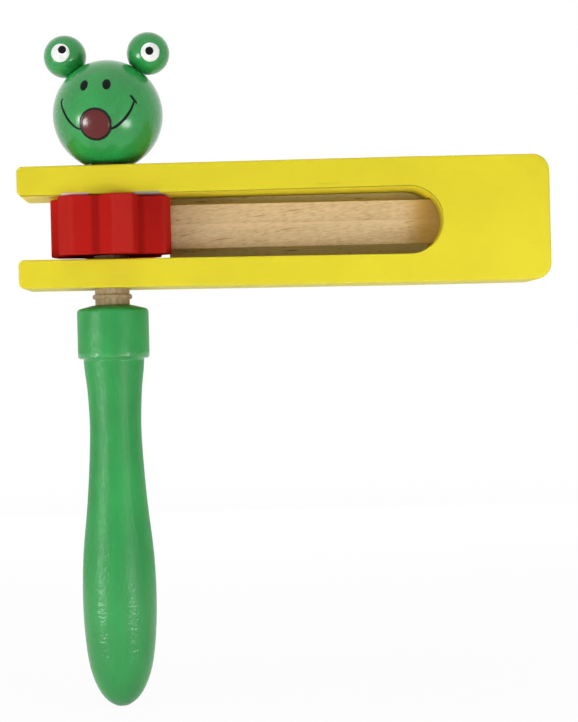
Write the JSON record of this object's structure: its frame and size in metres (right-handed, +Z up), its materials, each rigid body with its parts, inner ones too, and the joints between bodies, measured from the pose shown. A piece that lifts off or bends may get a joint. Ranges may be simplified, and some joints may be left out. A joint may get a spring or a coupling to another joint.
{
  "type": "ratchet rattle",
  "caption": "Wooden ratchet rattle: a forked frame whirls about a held handle while its springy tongue clicks over a toothed cog, with a frog head on top.",
  "frame": {"origin": "on the handle's axis, halfway along the handle, where a hand holds it", "axes": "+Z up along the handle's axis toward the head, +X along the frame from the shaft toward its solid end, -Y toward the viewer"},
  "size_m": [0.1675, 0.0386, 0.2146],
  "materials": {
    "handle_paint": "gloss paint",
    "shaft_beech": "bare wood",
    "ring_beech": "bare wood",
    "cog_paint": "gloss paint",
    "head_washer_beech": "bare wood",
    "head_paint": "gloss paint",
    "eye_left_paint": "gloss paint",
    "eye_right_paint": "gloss paint",
    "eye_peg_left_beech": "bare wood",
    "eye_peg_right_beech": "bare wood",
    "frame_paint": "satin paint",
    "slat_beech": "bare wood",
    "tongue_beech": "bare wood"
  },
  "bodies": {
    "handle": {"handle": "handle_paint", "shaft": "shaft_beech", "shaft_ring": "ring_beech", "cog": "cog_paint", "head_washer": "head_washer_beech", "head": "head_paint", "eye_left": "eye_left_paint", "eye_right": "eye_right_paint", "eye_peg_left": "eye_peg_left_beech", "eye_peg_right": "eye_peg_right_beech"},
    "frame": {"frame": "frame_paint", "backing_slat": "slat_beech"},
    "tongue": {"tongue": "tongue_beech"}
  },
  "joints": [
    {"name": "frame_turn", "type": "hinge", "parent": "handle", "child": "frame", "pos_m": [0, 0, 0.0882], "axis": [0, 0, 1], "continuous": true, "deforming": ["tongue"]},
    {"name": "tongue_flex", "type": "hinge", "parent": "frame", "child": "tongue", "pos_m": [0.1113, 0, 0.0884], "axis": [0, 0, -1], "range_deg": [0, 2.5], "stiffness_Nm_per_rad": 6}
  ]
}
